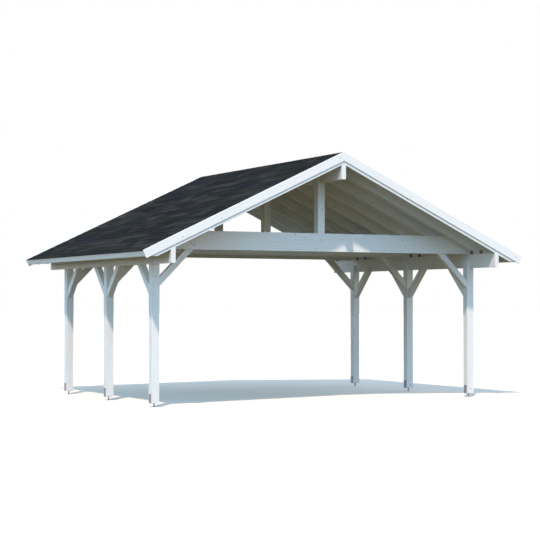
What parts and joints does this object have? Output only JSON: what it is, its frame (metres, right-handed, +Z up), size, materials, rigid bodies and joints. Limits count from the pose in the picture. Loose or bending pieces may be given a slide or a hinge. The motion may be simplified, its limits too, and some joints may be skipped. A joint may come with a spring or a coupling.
{
  "type": "carport",
  "caption": "Open timber carport with a shingled gable roof on posts with braces, tie beams and king posts.",
  "frame": {"origin": "ground level, in the middle of the plan: midway between the left and right posts, on the middle row of posts", "axes": "+X across the drive to the right as seen from the front gable, +Y along the drive from the front gable to the back, +Z up"},
  "size_m": [6.4808, 5.142, 3.7598],
  "materials": {
    "painted_timber": "planed softwood with a thin white glaze",
    "glued_beams": "planed glued softwood layers with a thin white glaze",
    "roof_boards": "tongued and grooved softwood boards with a thin white glaze",
    "shingles": "dark mineral granules on bitumen felt, matt",
    "galvanised_steel": "hot-dip galvanised, dull"
  },
  "bodies": {
    "root": {"post_front_left": "painted_timber", "post_front_right": "painted_timber", "post_middle_left": "painted_timber", "post_middle_right": "painted_timber", "post_back_left": "painted_timber", "post_back_right": "painted_timber", "anchor_front_left": "galvanised_steel", "anchor_front_right": "galvanised_steel", "anchor_middle_left": "galvanised_steel", "anchor_middle_right": "galvanised_steel", "anchor_back_left": "galvanised_steel", "anchor_back_right": "galvanised_steel", "side_beam_left": "painted_timber", "side_beam_right": "painted_timber", "ridge_beam": "painted_timber", "tie_beam_front": "glued_beams", "tie_beam_middle": "glued_beams", "tie_beam_back": "glued_beams", "king_post_front": "painted_timber", "king_post_middle": "painted_timber", "king_post_back": "painted_timber", "braces_front_left": "painted_timber", "braces_front_right": "painted_timber", "braces_middle_left": "painted_timber", "braces_middle_right": "painted_timber", "braces_back_left": "painted_timber", "braces_back_right": "painted_timber", "rafters_left": "painted_timber", "rafters_right": "painted_timber", "gable_rafters_front": "painted_timber", "gable_rafters_back": "painted_timber", "rafter_brackets_left": "galvanised_steel", "rafter_brackets_right": "galvanised_steel", "roof_deck_left": "roof_boards", "roof_deck_right": "roof_boards", "shingles_left": "shingles", "shingles_right": "shingles", "ridge_strip_cap": "shingles", "barge_board_front_left": "painted_timber", "barge_board_front_right": "painted_timber", "barge_board_back_left": "painted_timber", "barge_board_back_right": "painted_timber", "eave_board_left": "painted_timber", "eave_board_right": "painted_timber"}
  },
  "joints": []
}
